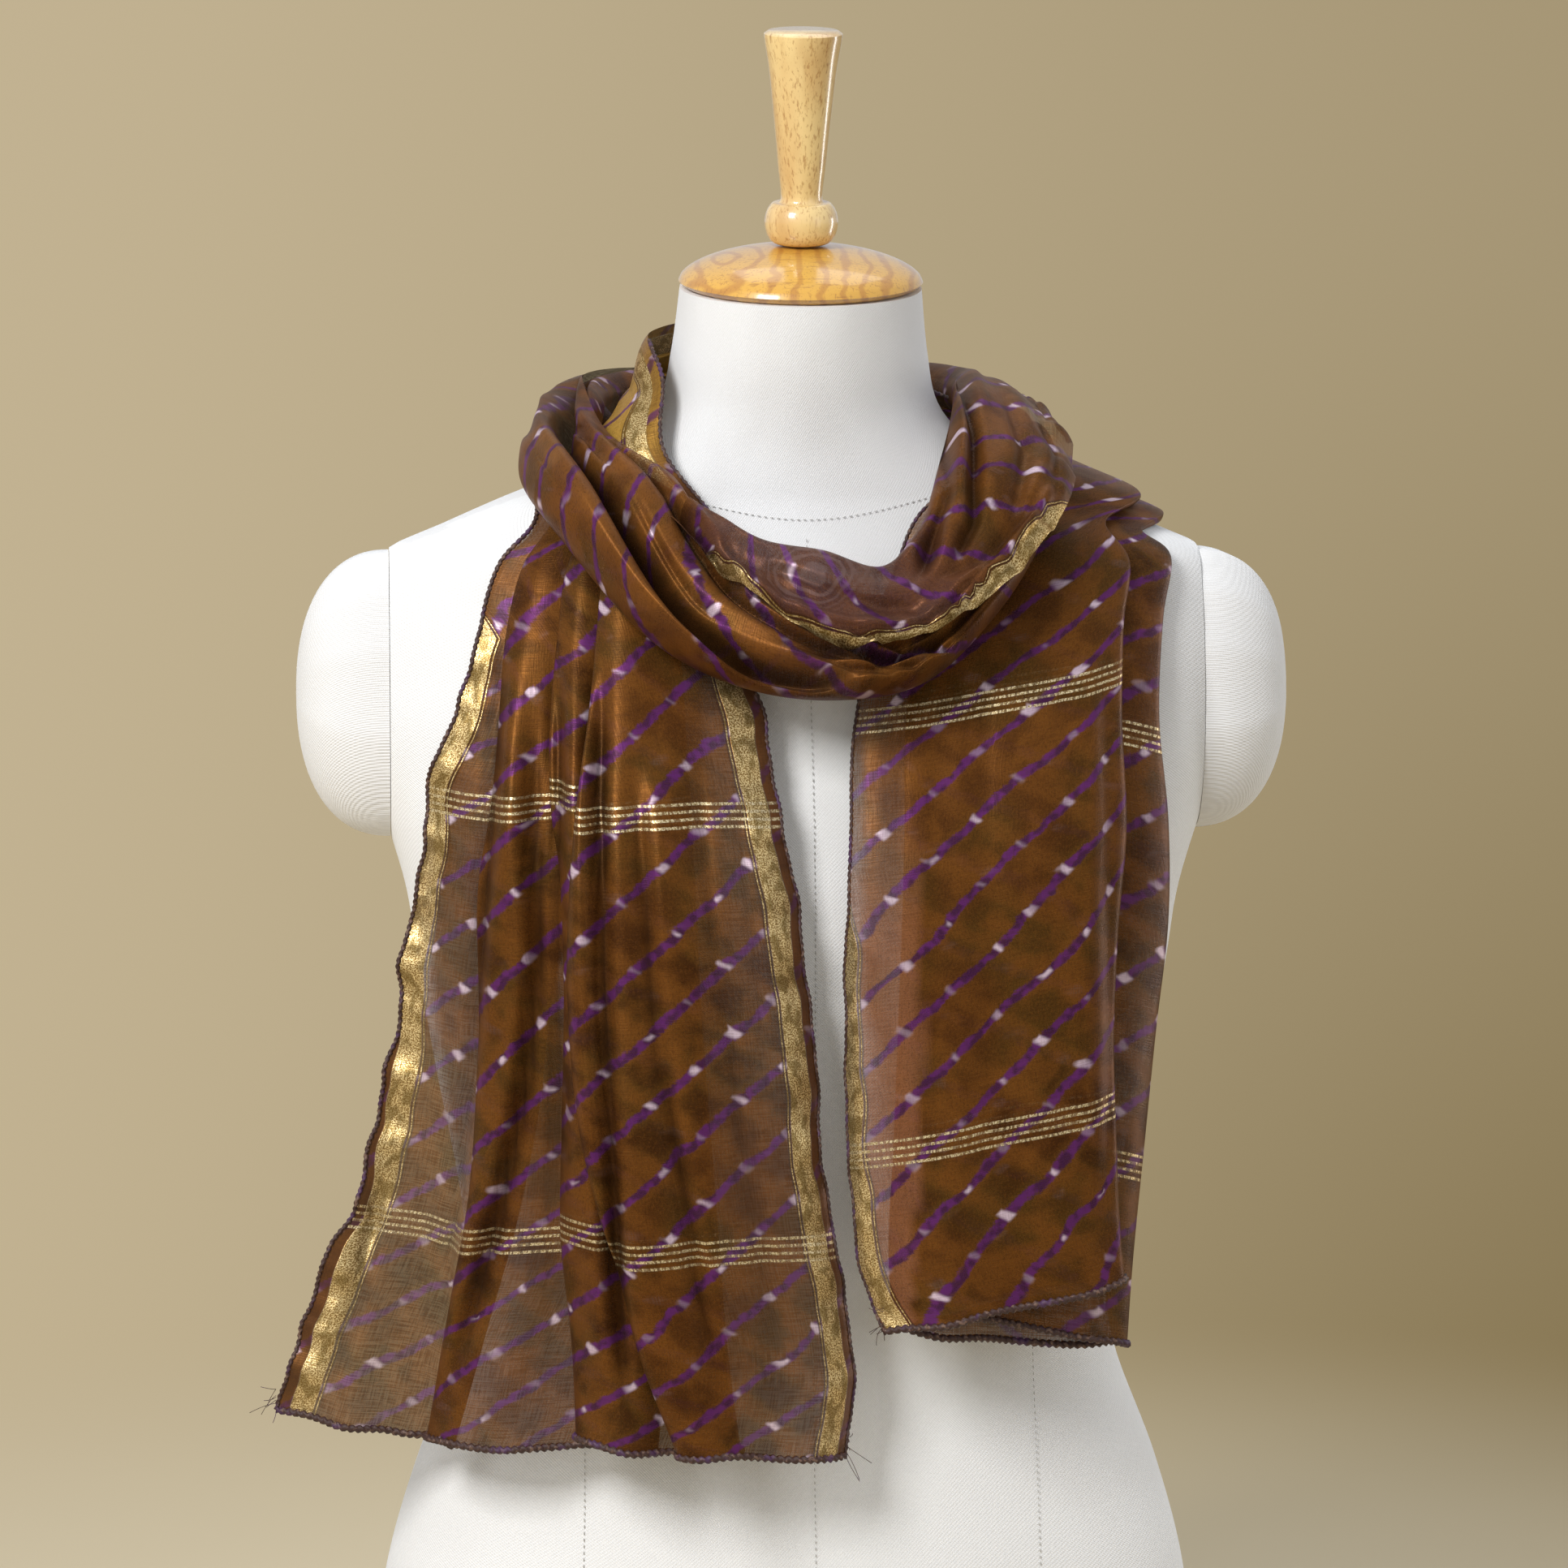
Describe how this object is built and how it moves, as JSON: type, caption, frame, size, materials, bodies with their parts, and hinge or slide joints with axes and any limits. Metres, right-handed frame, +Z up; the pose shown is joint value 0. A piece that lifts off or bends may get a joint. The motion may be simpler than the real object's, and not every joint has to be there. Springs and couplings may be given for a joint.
{
  "type": "dupatta stole on a limbless dress form",
  "caption": "Sheer folded dupatta stole wound once round the neck of a limbless dress form, its two ends hanging down the front",
  "frame": {"origin": "middle of the flat underside of the dress form, which rests on the surface", "axes": "+Z up along the form and its neck; the form faces -Y, so the wearer's right side is at -X"},
  "size_m": [0.5054, 0.2886, 0.884],
  "materials": {
    "canvas": "matte off-white cotton canvas, tightly stretched",
    "wood": "honey-coloured clear lacquer, glossy",
    "stole": "semi-sheer silk-cotton with a soft satin sheen, brown tie-dye with purple lines and gold zari borders"
  },
  "bodies": {
    "root": {"form_torso": "canvas", "form_cap_left": "canvas", "form_cap_right": "canvas", "neck_cap": "wood", "handle": "wood", "left_fall": "stole", "neck_strand": "stole", "right_fall": "stole", "front_loop": "stole", "back_loop": "stole"}
  },
  "joints": []
}
